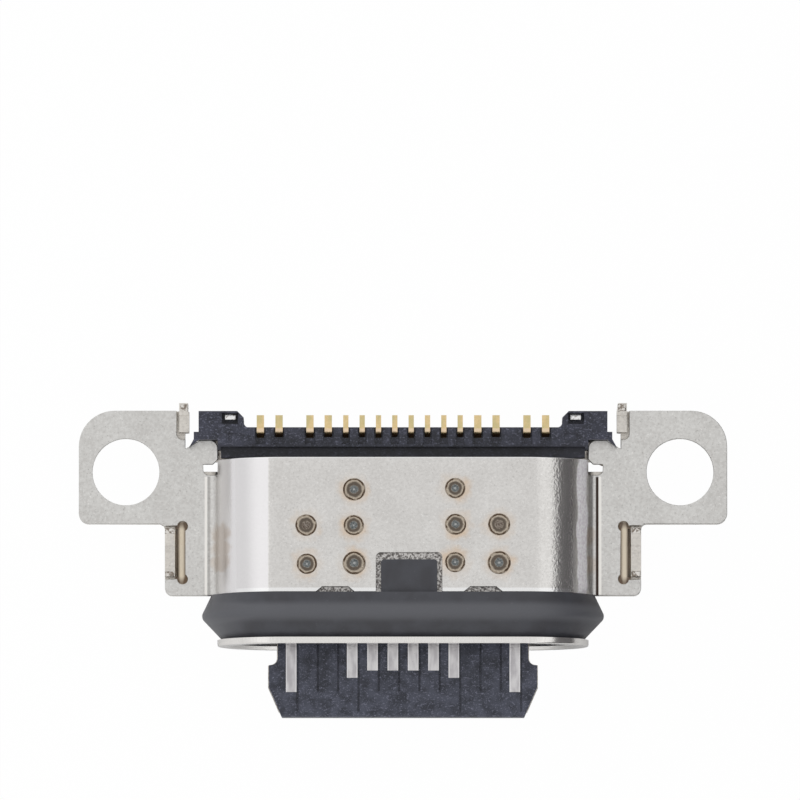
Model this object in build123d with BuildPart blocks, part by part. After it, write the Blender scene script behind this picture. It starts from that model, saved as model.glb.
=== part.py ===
from build123d import *
import os
from math import asin, cos, degrees

# Charging port connector, in millimetres.
# X runs across the port, Y from the tongue back to the solder tails, Z out of the keyed face.
# The origin is midway between the two ear holes, on the plane where the two sheets meet.

# Plug opening, and the shell drawn round it with a flared flange
mouth_width = 8.34
mouth_height = 2.56
shell_wall = 0.20
shell_rear_y = -0.10
flange_front_y = -4.30
flange_thickness = 0.16
flange_overhang = 0.20
mouth_lead_in = 0.08

# The two formed sheets that wrap the shell and make the ears
sheet = 0.25
bend_inside_radius = 0.20
cover_front_y = -3.04
top_cover_rear_y = 0.28
bottom_cover_rear_y = 0.02

# Ears and legs, in plan
hole_spacing = 13.64
hole_radius = 0.825
bottom_hole_radius = 0.88
hole_edge_roll = 0.06
ear_rim = 1.16
ear_front_y = -1.27
ear_rear_y = 1.51
ear_inner_x = 5.36
ear_rear_corner_radius = 0.88
ear_front_corner_radius = 0.25
leg_end_x = 5.86
leg_corner_radius = 0.18
inner_corner_radius = 0.14

# Tabs where the bottom sheet was broken off its carrier strip, bent up through windows
leg_tab_front_y = -2.58
leg_tab_rear_y = -1.40
leg_window_depth = 0.50
window_margin = 0.06
window_corner_radius = 0.13
ear_tab_front_y = 0.97
ear_tab_rear_y = 1.49
ear_window_front_y = 0.80
ear_tab_inner_x = 5.26
ear_nub_inset = 0.03
ear_nub_length = 0.20
tab_top_z = 0.36
tab_bend_radius = 0.18
leg_tab_hollow_radius = 0.14
break_groove_depth = 0.06
break_groove_length = 0.16

# Hook of the top sheet that holds the housing, and the slot in front of it
hook_inner_x = 4.56
hook_front_y = 0.19
hook_rear_y = 0.78
hook_rounding = 0.20
hook_slope_width = 0.35
hook_slope_depth = 0.21
hook_heel_chamfer = 0.12
slot_front_y = -0.08
slot_outer_x = 4.92
slot_rounding = 0.14

# Rear tab of the bottom sheet, with a window each side of its neck
rear_tab_end_y = 1.07
rear_tab_half_width = 2.81
rear_tab_neck_half_width = 2.36
side_window_rear_y = 0.73
side_window_radius = 0.16
side_notch_radius = 0.26
tab_lip_height = 0.20
tab_lip_thickness = 0.14

# Small notches in the front edges of the two covers
front_notch_depth = 0.13
front_notch_top = 0.64
front_notch_base = 0.94
top_notch_x = (-1.665, 1.97)
bottom_notch_x = (-1.605, 1.43)

# Rubber gasket on the shell, with a key that fills a window of the top cover
gasket_rear_rise = 0.35
gasket_ridge_rise = 0.61
gasket_front_rise = 0.08
gasket_ridge_y = -3.58
gasket_ridge_rounding = 0.16
key_x = 0.15
key_width = 1.38
key_length = 0.80
key_height = 0.22
key_corner_radius = 0.08
key_window_width = 1.62
key_window_length = 0.97
key_window_radius = 0.12

# Tongue
tongue_tip_y = -6.04
tongue_half_width = 3.30
tongue_thickness = 0.70
tongue_slant_width = 0.32
tongue_slant_length = 0.73
tongue_tip_chamfer = 0.06
latch_depth = 0.22
latch_front_from_tip = 1.27
latch_length = 1.00
latch_radius = 0.18
root_wall_y = -1.19
root_step_y = -2.40
root_step_half_width = 3.60
root_step_thickness = 1.10
moulding_rear_y = -0.20
seal_rear_y = 0.20
lane_groove_width = 0.05
lane_groove_depth = 0.05
long_groove_inset = 0.13
short_groove_inset = 0.63

# Steel plate inside the tongue, and its two ground arms
plate_thickness = 0.20
plate_edge_proud = 0.02
plate_tip_inset = 0.12
plate_rear_y = 0.30
wing_clearance = 0.05
wing_width = 0.34
wing_front_y = -0.60
arm_grip = 0.62
arm_front_y = 0.26
arm_rear_y = 0.88
arm_corner_x_cut = 0.18
arm_corner_y_cut = 0.34
lug_width = 0.26
lug_front_y = 1.28
lug_rear_y = 1.40
lug_top_z = 0.42

# Shield plates on the root step
root_plate_thickness = 0.08
root_plate_half_width = 3.20
root_plate_inset = 0.12

# Contacts: pads on the tongue, and tails at the back
contact_pitch = 0.50
lane_count = 12
contact_thickness = 0.12
pad_width = 0.26
ground_pad_inset = 0.61
power_pad_inset = 0.96
signal_pad_inset = 1.14
tail_end_y = 1.38
tail_underside_z = 0.44
tail_bend_y = 1.00
tail_bend_radius = 0.08
signal_tail_pitch = 0.402
power_tail_inner_x = 1.84
power_tail_outer_x = 2.29
ground_tail_inner_x = 3.05
ground_tail_outer_x = 3.51
signal_tail_width = 0.13
wide_tail_width = 0.18
jog_front_y = -1.05
jog_rear_y = -0.30
upper_rise_y = 0.78
lower_rise_y = 0.36

# Rear housing
housing_top_z = 0.60
housing_bottom_z = -0.98
neck_half_width = 4.20
neck_bottom_z = -0.70
bar_half_width = 4.48
bar_front_y = 0.34
bar_rear_y = 1.07
lower_bar_rear_y = 1.15
lower_bar_top_z = -0.50
cheek_front_y = 0.53
foot_half_width = 2.30
foot_rear_y = 1.00
ledge_half_width = 3.00
ledge_front_y = 0.36
ledge_rear_y = 0.60
ledge_depth = 0.25
shelf_y = 0.60
shelf_top_z = 0.42
lower_gap_inner_x = 2.82
lower_gap_outer_x = 2.94
lower_gap_height = 0.40
lower_slot_inner_x = 3.03
lower_slot_outer_x = 3.17
lower_slot_rear_y = 0.75
end_block_inner_x = 3.92
end_block_outer_x = 5.03
end_block_front_y = 0.78
end_block_rear_y = 1.48
end_block_chamfer = 0.16
end_block_hollow_radius = 0.14
spur_end_x = 5.26
spur_end_y = 0.59
spur_shoulder_x = 5.15
spur_bend_y = 0.79
spur_rear_y = 0.97
spur_height = 0.30
recess_inner_x = 4.06
recess_width = 0.40
recess_length = 0.27
recess_rear_y = 1.43
recess_depth = 0.35
sink_inner_x = 3.97
sink_outer_x = 4.29
sink_front_y = 0.75
sink_rear_y = 0.94
sink_depth = 0.04
post_inner_x = 4.61
post_front_y = 0.88
post_chamfer = 0.09
post_gap_depth = 0.12
foot_block_outer_x = 4.46
pocket_front_y = 0.79
pocket_rear_y = 1.11
groove_front_y = 0.66
groove_side_gap = 0.04

# Values that follow from the sizes above
mouth_radius = mouth_height / 2
straight_half = mouth_width / 2 - mouth_radius
shell_radius = mouth_radius + shell_wall
cover_radius = shell_radius + sheet
bend_outside_radius = bend_inside_radius + sheet
bend_angle = asin(bend_outside_radius / (shell_radius + bend_outside_radius))
bend_centre_x = straight_half + (shell_radius + bend_outside_radius) * cos(bend_angle)
ear_end_x = hole_spacing / 2 + ear_rim
sheet_rear_y = max(ear_rear_y, rear_tab_end_y)
sheet_length = sheet_rear_y - cover_front_y
flange_back_y = flange_front_y + flange_thickness
tongue_half = tongue_thickness / 2
tongue_tip_half_width = tongue_half_width - tongue_slant_width
latch_half_width = tongue_half_width - latch_depth
plate_half = plate_thickness / 2
root_step_half = root_step_thickness / 2
wing_outer_x = straight_half + mouth_radius - wing_clearance
wing_inner_x = wing_outer_x - wing_width
arm_end_x = hook_inner_x + arm_grip
lug_outer_x = wing_outer_x + lug_width
power_lane_x = 2.5 * contact_pitch
ground_lane_x = (lane_count - 1) / 2 * contact_pitch
plan_reach = 2 * cover_radius


def plane_at(y):
    """A plane across the connector at a place along Y, facing the tongue."""
    return Plane(origin=(0, y, 0), x_dir=(1, 0, 0), z_dir=(0, -1, 0))


def stadium_bar(radius, front_y, rear_y):
    """A bar with the rounded outline of the plug opening, grown or shrunk to another radius."""
    with BuildPart() as bar:
        with BuildSketch(plane_at(rear_y)):
            SlotCenterToCenter(2 * straight_half, 2 * radius)
        extrude(amount=rear_y - front_y)
    return bar.part


def sheet_blank(plane):
    """One sheet before it is trimmed: flat ears, bends, wraps round the shell and a flat face."""
    bend_centre = (bend_centre_x, bend_outside_radius)
    wrap_centre = (straight_half, 0)
    turn = degrees(bend_angle)
    with BuildPart() as blank:
        with BuildSketch(plane):
            with BuildLine():
                inner_wrap = CenterArc(wrap_centre, shell_radius, turn, 90 - turn)
                inner_bend = CenterArc(bend_centre, bend_outside_radius, 180 + turn, 90 - turn)
                outer_bend = CenterArc(bend_centre, bend_inside_radius, 180 + turn, 90 - turn)
                outer_wrap = CenterArc(wrap_centre, cover_radius, turn, 90 - turn)
                Polyline(inner_bend @ 1, (ear_end_x, 0), (ear_end_x, sheet), outer_bend @ 1)
                Polyline(inner_wrap @ 1, (0, shell_radius), (0, cover_radius), outer_wrap @ 1)
            make_face()
            mirror(about=Plane.YZ)
        extrude(amount=sheet_length)
    return blank.part


def block(low, high):
    """A plain block between two corners."""
    size = [high[i] - low[i] for i in range(3)]
    with BuildPart() as solid:
        with Locations(low):
            Box(*size, align=(Align.MIN, Align.MIN, Align.MIN))
    return solid.part


def corner_of(sketch, x, y):
    """The corner of a sketch nearest to a point."""
    return sketch.vertices().sort_by_distance((x, y, 0))[0]


def ear_outline(hole, cover_rear_y):
    """The cover, legs and ears of one sheet in plan, with the screw holes."""
    with BuildSketch() as outline:
        with BuildLine():
            Polyline(
                (0, cover_front_y),
                (leg_end_x, cover_front_y),
                (leg_end_x, ear_front_y),
                (ear_end_x, ear_front_y),
                (ear_end_x, ear_rear_y),
                (ear_inner_x, ear_rear_y),
                (ear_inner_x, cover_rear_y),
                (0, cover_rear_y),
                close=True,
            )
        make_face()
        fillet(corner_of(outline, ear_end_x, ear_rear_y), ear_rear_corner_radius)
        fillet(corner_of(outline, ear_end_x, ear_front_y), ear_front_corner_radius)
        fillet(corner_of(outline, leg_end_x, cover_front_y), leg_corner_radius)
        fillet(corner_of(outline, leg_end_x, ear_front_y), inner_corner_radius)
        with Locations((hole_spacing / 2, 0)):
            Circle(hole, mode=Mode.SUBTRACT)
        mirror(about=Plane.YZ)
    return outline.sketch


def front_notch():
    """A small tapered notch for the front edge of a cover."""
    with BuildSketch() as notch:
        with BuildLine():
            Polyline(
                (-front_notch_base / 2, 0),
                (-front_notch_top / 2, front_notch_depth),
                (front_notch_top / 2, front_notch_depth),
                (front_notch_base / 2, 0),
                close=True,
            )
        make_face()
    return notch.sketch


# Inner shell: a drawn tube with a flange round its mouth
with BuildPart() as inner_shell:
    add(stadium_bar(shell_radius, flange_front_y, shell_rear_y))
    add(stadium_bar(shell_radius + flange_overhang, flange_front_y, flange_back_y))
    add(stadium_bar(mouth_radius, flange_front_y, shell_rear_y), mode=Mode.SUBTRACT)
    front_face = inner_shell.faces().sort_by(Axis.Y)[0]
    chamfer(front_face.inner_wires()[0].edges(), mouth_lead_in)
    front_face = inner_shell.faces().sort_by(Axis.Y)[0]
    fillet(front_face.outer_wire().edges(), flange_thickness / 3)
inner_shell.part.label = "inner_shell"

# Top bracket: the keyed sheet, with hooks, leg windows and the key window
window_x = leg_end_x - leg_window_depth
window_front_y = leg_tab_front_y - window_margin
window_rear_y = leg_tab_rear_y + window_margin
window_centre_y = (window_front_y + window_rear_y) / 2
window_corner_x = window_x + window_corner_radius / 2
ear_window_x = ear_tab_inner_x + sheet + window_margin
with BuildPart() as top_bracket:
    add(sheet_blank(plane_at(sheet_rear_y)))
    with BuildSketch() as top_plan:
        add(ear_outline(hole_radius, top_cover_rear_y))
        with Locations((ear_inner_x, ear_rear_y)):
            RectangleRounded(
                2 * (ear_window_x - ear_inner_x),
                2 * (ear_rear_y - ear_window_front_y),
                window_corner_radius,
                mode=Mode.SUBTRACT,
            )
        with Locations((hook_inner_x, slot_front_y)):
            Rectangle(
                slot_outer_x - hook_inner_x,
                top_cover_rear_y - slot_front_y,
                align=(Align.MIN, Align.MIN),
                mode=Mode.SUBTRACT,
            )
        fillet(corner_of(top_plan, slot_outer_x, slot_front_y), slot_rounding)
        with Locations((window_x + leg_window_depth, window_centre_y)):
            Rectangle(2 * leg_window_depth, window_rear_y - window_front_y, mode=Mode.SUBTRACT)
        with Locations((window_corner_x, window_front_y), (window_corner_x, window_rear_y)):
            Circle(window_corner_radius, mode=Mode.SUBTRACT)
        split(bisect_by=Plane.YZ)
        mirror(about=Plane.YZ)
        with Locations((key_x, cover_front_y)):
            RectangleRounded(
                key_window_width, 2 * key_window_length, key_window_radius, mode=Mode.SUBTRACT
            )
        with Locations(*[(place, cover_front_y) for place in top_notch_x]):
            add(front_notch(), mode=Mode.SUBTRACT)
    extrude(amount=plan_reach, both=True, mode=Mode.INTERSECT)
    with BuildSketch() as hook_plan:
        with BuildLine():
            Polyline(
                (ear_inner_x, slot_front_y + slot_rounding),
                (slot_outer_x, slot_front_y + slot_rounding),
                (slot_outer_x, hook_front_y),
                (hook_inner_x + hook_heel_chamfer, hook_front_y),
                (hook_inner_x, hook_front_y + hook_heel_chamfer),
                (hook_inner_x, hook_rear_y),
                (ear_inner_x - hook_slope_width, hook_rear_y),
                (ear_inner_x, hook_rear_y - hook_slope_depth),
                close=True,
            )
        make_face()
        fillet(corner_of(hook_plan, hook_inner_x, hook_rear_y), hook_rounding)
        mirror(about=Plane.YZ)
    extrude(amount=sheet)
top_bracket.part.label = "top_bracket"


def bent_tab(low_x, heel_x, front_y, rear_y):
    """A tab bent up from the edge of the bottom sheet, rounded at its heel."""
    with BuildPart() as tab:
        with BuildSketch(plane_at(rear_y)) as profile:
            with Locations((low_x, -sheet)):
                Rectangle(sheet, tab_top_z + sheet, align=(Align.MIN, Align.MIN))
            fillet(corner_of(profile, heel_x, -sheet), tab_bend_radius)
        extrude(amount=rear_y - front_y)
    return tab.part


# Bottom bracket: the other sheet, with the rear tab, and the tabs bent up through the windows
bottom_plane = Plane(origin=(0, cover_front_y, 0), x_dir=(1, 0, 0), z_dir=(0, 1, 0))
leg_tab_inner_x = leg_end_x - sheet
lip_end_x = rear_tab_half_width + tab_lip_thickness
break_z = tab_top_z - break_groove_depth
with BuildPart() as bottom_bracket:
    add(sheet_blank(bottom_plane))
    with BuildSketch() as bottom_plan:
        add(ear_outline(bottom_hole_radius, bottom_cover_rear_y))
        fillet(corner_of(bottom_plan, ear_inner_x, bottom_cover_rear_y), side_notch_radius)
        with Locations((0, bottom_cover_rear_y)):
            Rectangle(
                2 * rear_tab_neck_half_width,
                side_window_rear_y - bottom_cover_rear_y,
                align=(Align.CENTER, Align.MIN),
            )
        with Locations((0, side_window_rear_y)):
            Rectangle(
                2 * rear_tab_half_width,
                rear_tab_end_y - side_window_rear_y,
                align=(Align.CENTER, Align.MIN),
            )
        window_corners = [
            corner_of(bottom_plan, side * rear_tab_neck_half_width, y)
            for side in (-1, 1)
            for y in (bottom_cover_rear_y, side_window_rear_y)
        ]
        fillet(window_corners, side_window_radius)
        with Locations((ear_tab_inner_x, ear_tab_front_y)):
            Rectangle(
                sheet + window_margin,
                ear_tab_rear_y - ear_tab_front_y,
                align=(Align.MIN, Align.MIN),
            )
        split(bisect_by=Plane.YZ)
        mirror(about=Plane.YZ)
        with Locations(*[(place, cover_front_y) for place in bottom_notch_x]):
            add(front_notch(), mode=Mode.SUBTRACT)
    extrude(amount=plan_reach, both=True, mode=Mode.INTERSECT)
    for root_x, heel_x, front_y, rear_y in (
        (leg_tab_inner_x, leg_end_x, leg_tab_front_y, leg_tab_rear_y),
        (ear_tab_inner_x + sheet, ear_tab_inner_x, ear_tab_front_y, ear_tab_rear_y),
    ):
        low_x = min(root_x, heel_x)
        high_x = max(root_x, heel_x)
        break_y = (front_y + rear_y) / 2
        add(block((low_x, front_y, -sheet), (high_x, rear_y, 0)), mode=Mode.SUBTRACT)
        add(bent_tab(low_x, heel_x, front_y, rear_y))
        add(
            block((low_x, break_y, break_z), (high_x, break_y + break_groove_length, tab_top_z)),
            mode=Mode.SUBTRACT,
        )
    with BuildSketch(plane_at(leg_tab_rear_y)):
        with BuildLine():
            hollow = CenterArc(
                (leg_tab_inner_x - leg_tab_hollow_radius, leg_tab_hollow_radius),
                leg_tab_hollow_radius,
                270,
                90,
            )
            Polyline(hollow @ 1, (leg_tab_inner_x, 0), hollow @ 0)
        make_face()
    extrude(amount=leg_tab_rear_y - leg_tab_front_y)
    add(
        block(
            (ear_tab_inner_x + ear_nub_inset, ear_tab_rear_y, -ear_nub_inset),
            (ear_tab_inner_x + sheet, ear_tab_rear_y + ear_nub_length, tab_top_z),
        )
    )
    add(
        block(
            (rear_tab_half_width, side_window_rear_y, -cover_radius),
            (lip_end_x, rear_tab_end_y, -shell_radius + tab_lip_height),
        )
    )
    hole_edge = bottom_bracket.edges().sort_by_distance((hole_spacing / 2, 0, 0))[0]
    chamfer(hole_edge, hole_edge_roll)
    lip_edges = bottom_bracket.edges().filter_by(Axis.Y)
    fillet(
        lip_edges.sort_by_distance((lip_end_x, rear_tab_end_y, -cover_radius))[0],
        tab_lip_thickness / 2,
    )
    split(bisect_by=Plane.YZ)
    mirror(about=Plane.YZ)
bottom_bracket.part.label = "bottom_bracket"

# Gasket: one section swept round the shell, and its key
with BuildPart() as gasket:
    with BuildLine(plane_at(0)):
        Line((-straight_half, shell_radius), (straight_half, shell_radius))
        CenterArc((straight_half, 0), shell_radius, 90, -180)
        Line((straight_half, -shell_radius), (-straight_half, -shell_radius))
        CenterArc((-straight_half, 0), shell_radius, 270, -180)
    with BuildSketch(Plane.YZ.offset(-straight_half)) as ring_section:
        with BuildLine():
            Polyline(
                (cover_front_y, shell_radius),
                (cover_front_y, shell_radius + gasket_rear_rise),
                (gasket_ridge_y, shell_radius + gasket_ridge_rise),
                (flange_back_y, shell_radius + gasket_front_rise),
                (flange_back_y, shell_radius),
                close=True,
            )
        make_face()
        ridge = corner_of(ring_section, gasket_ridge_y, shell_radius + gasket_ridge_rise)
        fillet(ridge, gasket_ridge_rounding)
    sweep()
    with BuildSketch(Plane.XY.offset(shell_radius)):
        with Locations((key_x, cover_front_y)):
            RectangleRounded(key_width, 2 * key_length, key_corner_radius)
        with Locations((key_x, cover_front_y)):
            Rectangle(
                key_width, key_length, align=(Align.CENTER, Align.MAX), mode=Mode.SUBTRACT
            )
    extrude(amount=key_height)
gasket.part.label = "gasket"


def tongue_outline():
    """The tongue in plan, with its slanted tip corners and its latch notches."""
    latch_front_y = tongue_tip_y + latch_front_from_tip
    with BuildSketch() as outline:
        with BuildLine():
            Polyline(
                (0, tongue_tip_y),
                (tongue_tip_half_width, tongue_tip_y),
                (tongue_half_width, tongue_tip_y + tongue_slant_length),
                (tongue_half_width, latch_front_y),
                (latch_half_width, latch_front_y),
                (latch_half_width, latch_front_y + latch_length),
                (tongue_half_width, latch_front_y + latch_length),
                (tongue_half_width, root_wall_y),
                (0, root_wall_y),
                close=True,
            )
        make_face()
        fillet(corner_of(outline, latch_half_width, latch_front_y), latch_radius)
        fillet(corner_of(outline, latch_half_width, latch_front_y + latch_length), latch_radius)
        mirror(about=Plane.YZ)
    return outline.sketch


# Mid plate: the steel core of the tongue, its two arms under the hooks of the top sheet, and a lug
# bent up inside each end block, which is seen through the moulding windows there
with BuildPart() as mid_plate:
    with BuildSketch():
        add(offset(tongue_outline(), plate_edge_proud, mode=Mode.PRIVATE))
        with Locations((0, tongue_tip_y + plate_tip_inset)):
            Rectangle(
                2 * ear_end_x, 2 * tongue_slant_length, align=(Align.CENTER, Align.MAX), mode=Mode.SUBTRACT
            )
        with Locations((0, root_wall_y)):
            Rectangle(
                2 * wing_inner_x, plate_rear_y - root_wall_y, align=(Align.CENTER, Align.MIN)
            )
    extrude(amount=plate_half, both=True)
    add(block((wing_inner_x, wing_front_y, -plate_thickness), (wing_outer_x, arm_rear_y, plate_half)))
    with BuildSketch():
        with BuildLine():
            Polyline(
                (wing_outer_x, arm_front_y),
                (arm_end_x, arm_front_y),
                (arm_end_x, arm_rear_y - arm_corner_y_cut),
                (arm_end_x - arm_corner_x_cut, arm_rear_y),
                (lug_outer_x, arm_rear_y),
                (lug_outer_x, lug_rear_y),
                (wing_outer_x, lug_rear_y),
                close=True,
            )
        make_face()
    extrude(amount=-plate_thickness)
    add(block((wing_outer_x, lug_front_y, 0), (lug_outer_x, lug_rear_y, lug_top_z)))
    mirror(about=Plane.YZ)
mid_plate.part.label = "mid_plate"


def contact(pad_x, pad_inset, tail_x, tail_width, underside_z, rise_y):
    """One contact strip: pad on the tongue, jog sideways in the base, rise to its tail."""
    pad_front_y = tongue_tip_y + pad_inset
    with BuildPart() as strip:
        with BuildSketch(Plane.YZ):
            with BuildLine():
                FilletPolyline(
                    (pad_front_y, underside_z),
                    (rise_y, underside_z),
                    (tail_bend_y, tail_underside_z),
                    (tail_end_y, tail_underside_z),
                    radius=tail_bend_radius,
                )
                offset(amount=contact_thickness, side=Side.LEFT)
            make_face()
        extrude(amount=ground_tail_outer_x + wide_tail_width, both=True)
        with BuildSketch():
            with BuildLine():
                Polyline(
                    (pad_x - pad_width / 2, pad_front_y),
                    (pad_x + pad_width / 2, pad_front_y),
                    (pad_x + pad_width / 2, jog_front_y),
                    (tail_x + tail_width / 2, jog_rear_y),
                    (tail_x + tail_width / 2, tail_end_y),
                    (tail_x - tail_width / 2, tail_end_y),
                    (tail_x - tail_width / 2, jog_rear_y),
                    (pad_x - pad_width / 2, jog_front_y),
                    close=True,
                )
            make_face()
        extrude(amount=plan_reach, both=True, mode=Mode.INTERSECT)
    return strip.part


# Contacts: eight pads on each face of the tongue, whose tails take turns in one row at the back
half_row = [
    (0.5 * contact_pitch, signal_pad_inset, signal_tail_width),
    (1.5 * contact_pitch, signal_pad_inset, signal_tail_width),
    (power_lane_x, power_pad_inset, wide_tail_width),
    (ground_lane_x, ground_pad_inset, wide_tail_width),
]
half_tails = [signal_tail_pitch * (place + 0.5) for place in range(4)]
half_tails += [power_tail_inner_x, power_tail_outer_x, ground_tail_inner_x, ground_tail_outer_x]
tail_row = [-x for x in reversed(half_tails)] + half_tails
pad_row = [(-x, inset, width) for x, inset, width in reversed(half_row)] + half_row
contacts = []
for number, (pad_x, pad_inset, tail_width) in enumerate(pad_row):
    for row, face_z, rise_y in (
        ("upper", tongue_half - contact_thickness, upper_rise_y),
        ("lower", -tongue_half, lower_rise_y),
    ):
        tail_x = tail_row[2 * number + (row == "lower")]
        strip = contact(pad_x, pad_inset, tail_x, tail_width, face_z, rise_y)
        strip.label = f"{row}_contact_{number + 1}"
        contacts.append(strip)

# Tongue moulding: the tongue, the thicker root step, and the plug that fills the shell
with BuildPart() as tongue_moulding:
    with BuildSketch():
        add(tongue_outline())
    extrude(amount=tongue_half, both=True)
    tip_edges = tongue_moulding.faces().sort_by(Axis.Y)[0].edges().filter_by(Axis.X)
    chamfer(tip_edges, tongue_tip_chamfer)
    add(
        block(
            (-root_step_half_width, root_step_y, -root_step_half),
            (root_step_half_width, root_wall_y, root_step_half),
        )
    )
    add(stadium_bar(mouth_radius, root_wall_y, moulding_rear_y))
    add(mid_plate.part, mode=Mode.SUBTRACT)
    for strip in contacts:
        add(strip, mode=Mode.SUBTRACT)
    for lane in range(lane_count):
        lane_x = lane * contact_pitch - ground_lane_x
        has_long_groove = abs(lane_x) in (power_lane_x, ground_lane_x)
        inset = long_groove_inset if has_long_groove else short_groove_inset
        for side in (-1, 1):
            groove_x = side * lane_x + pad_width / 2
            low_z, high_z = sorted((side * tongue_half, side * (tongue_half - lane_groove_depth)))
            add(
                block(
                    (groove_x, tongue_tip_y + inset, low_z),
                    (groove_x + lane_groove_width, root_step_y, high_z),
                ),
                mode=Mode.SUBTRACT,
            )
tongue_moulding.part.label = "tongue_moulding"


def root_plate(face_z):
    """A shield plate lying on one face of the root step."""
    with BuildPart() as plate:
        with BuildSketch(Plane.XY.offset(face_z)):
            with Locations((0, (root_step_y + root_wall_y) / 2)):
                Rectangle(
                    2 * root_plate_half_width, root_wall_y - root_step_y - 2 * root_plate_inset
                )
        extrude(amount=root_plate_thickness)
    return plate.part


upper_root_plate = root_plate(root_step_half)
upper_root_plate.label = "upper_root_plate"
lower_root_plate = root_plate(-root_step_half - root_plate_thickness)
lower_root_plate.label = "lower_root_plate"

# Rear seal: potting between the tongue moulding and the rear housing
with BuildPart() as rear_seal:
    add(stadium_bar(mouth_radius, moulding_rear_y, seal_rear_y))
    add(mid_plate.part, mode=Mode.SUBTRACT)
    for strip in contacts:
        add(strip, mode=Mode.SUBTRACT)
rear_seal.part.label = "rear_seal"

# Rear housing: the bar that carries the tails, and an end block at each hook
with BuildPart() as rear_housing:
    add(block((0, seal_rear_y, neck_bottom_z), (neck_half_width, bar_front_y, housing_top_z)))
    add(block((0, bar_front_y, housing_bottom_z), (bar_half_width, bar_rear_y, housing_top_z)))
    add(
        block(
            (0, bar_front_y, housing_bottom_z),
            (bar_half_width, lower_bar_rear_y, lower_bar_top_z),
        )
    )
    add(block((bar_half_width, cheek_front_y, 0), (hook_inner_x, end_block_front_y, housing_top_z)))
    add(block((0, seal_rear_y, -shell_radius), (foot_half_width, foot_rear_y, housing_bottom_z)))
    add(
        block(
            (0, ledge_front_y, housing_bottom_z - ledge_depth),
            (ledge_half_width, ledge_rear_y, housing_bottom_z),
        )
    )
    add(
        block((0, seal_rear_y, shelf_top_z), (bar_half_width, shelf_y, housing_top_z)),
        mode=Mode.SUBTRACT,
    )
    with BuildSketch(Plane.XY.offset(-plate_thickness)) as end_plan:
        with BuildLine():
            Polyline(
                (end_block_inner_x, end_block_front_y),
                (end_block_outer_x, end_block_front_y),
                (end_block_outer_x, end_block_rear_y),
                (end_block_inner_x, end_block_rear_y),
                close=True,
            )
        make_face()
        chamfer(corner_of(end_plan, end_block_inner_x, end_block_rear_y), end_block_chamfer)
    extrude(amount=housing_top_z + plate_thickness)
    with BuildSketch():
        with BuildLine():
            hollow = CenterArc(
                (end_block_inner_x - end_block_hollow_radius, bar_rear_y + end_block_hollow_radius),
                end_block_hollow_radius,
                270,
                90,
            )
            Polyline(hollow @ 1, (end_block_inner_x, bar_rear_y), hollow @ 0)
        make_face()
    extrude(amount=housing_top_z)
    with BuildSketch(Plane.XY.offset(sheet)):
        with BuildLine():
            Polyline(
                (end_block_outer_x, end_block_front_y),
                (spur_end_x, spur_end_y),
                (spur_shoulder_x, spur_bend_y),
                (spur_shoulder_x, spur_rear_y),
                (end_block_outer_x, spur_rear_y),
                close=True,
            )
        make_face()
    extrude(amount=spur_height)
    with BuildSketch(Plane.XY.offset(housing_bottom_z)) as feet_plan:
        with Locations((post_inner_x, post_front_y)):
            Rectangle(
                end_block_outer_x - post_inner_x,
                end_block_rear_y - post_front_y,
                align=(Align.MIN, Align.MIN),
            )
        with Locations((end_block_inner_x, pocket_rear_y)):
            Rectangle(
                foot_block_outer_x - end_block_inner_x,
                end_block_rear_y - pocket_rear_y,
                align=(Align.MIN, Align.MIN),
            )
        chamfer(corner_of(feet_plan, end_block_outer_x, end_block_rear_y), post_chamfer)
        chamfer(corner_of(feet_plan, end_block_inner_x, end_block_rear_y), end_block_chamfer)
    extrude(amount=-plate_thickness - housing_bottom_z)
    add(
        block(
            (foot_block_outer_x, post_front_y, housing_bottom_z + post_gap_depth),
            (post_inner_x, end_block_rear_y, -plate_thickness),
        )
    )
    add(
        block(
            (end_block_inner_x, pocket_front_y, housing_bottom_z),
            (foot_block_outer_x, pocket_rear_y, -plate_thickness),
        ),
        mode=Mode.SUBTRACT,
    )
    add(
        block(
            (recess_inner_x, recess_rear_y - recess_length, housing_top_z - recess_depth),
            (recess_inner_x + recess_width, recess_rear_y, housing_top_z),
        ),
        mode=Mode.SUBTRACT,
    )
    add(
        block(
            (sink_inner_x, sink_front_y, housing_top_z - sink_depth),
            (sink_outer_x, sink_rear_y, housing_top_z),
        ),
        mode=Mode.SUBTRACT,
    )
    add(
        block(
            (lower_gap_inner_x, ledge_rear_y, housing_bottom_z),
            (lower_gap_outer_x, lower_bar_rear_y, housing_bottom_z + lower_gap_height),
        ),
        mode=Mode.SUBTRACT,
    )
    add(
        block(
            (lower_slot_inner_x, bar_front_y, housing_bottom_z),
            (lower_slot_outer_x, lower_slot_rear_y, housing_bottom_z + lower_gap_height),
        ),
        mode=Mode.SUBTRACT,
    )
    mirror(about=Plane.YZ)
    for place, tail_x in enumerate(tail_row):
        tail_width = pad_row[place // 2][2]
        half_groove = tail_width / 2 + groove_side_gap
        add(
            block(
                (tail_x - half_groove, groove_front_y, tail_underside_z),
                (tail_x + half_groove, bar_rear_y, housing_top_z),
            ),
            mode=Mode.SUBTRACT,
        )
    add(mid_plate.part, mode=Mode.SUBTRACT)
    for strip in contacts:
        add(strip, mode=Mode.SUBTRACT)
rear_housing.part.label = "rear_housing"

pieces = [
    inner_shell.part,
    top_bracket.part,
    bottom_bracket.part,
    gasket.part,
    mid_plate.part,
    tongue_moulding.part,
    upper_root_plate,
    lower_root_plate,
    rear_seal.part,
    rear_housing.part,
]
os.makedirs("parts", exist_ok=True)
for piece in pieces + contacts:
    export_step(piece, f"parts/{piece.label}.step")
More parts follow.
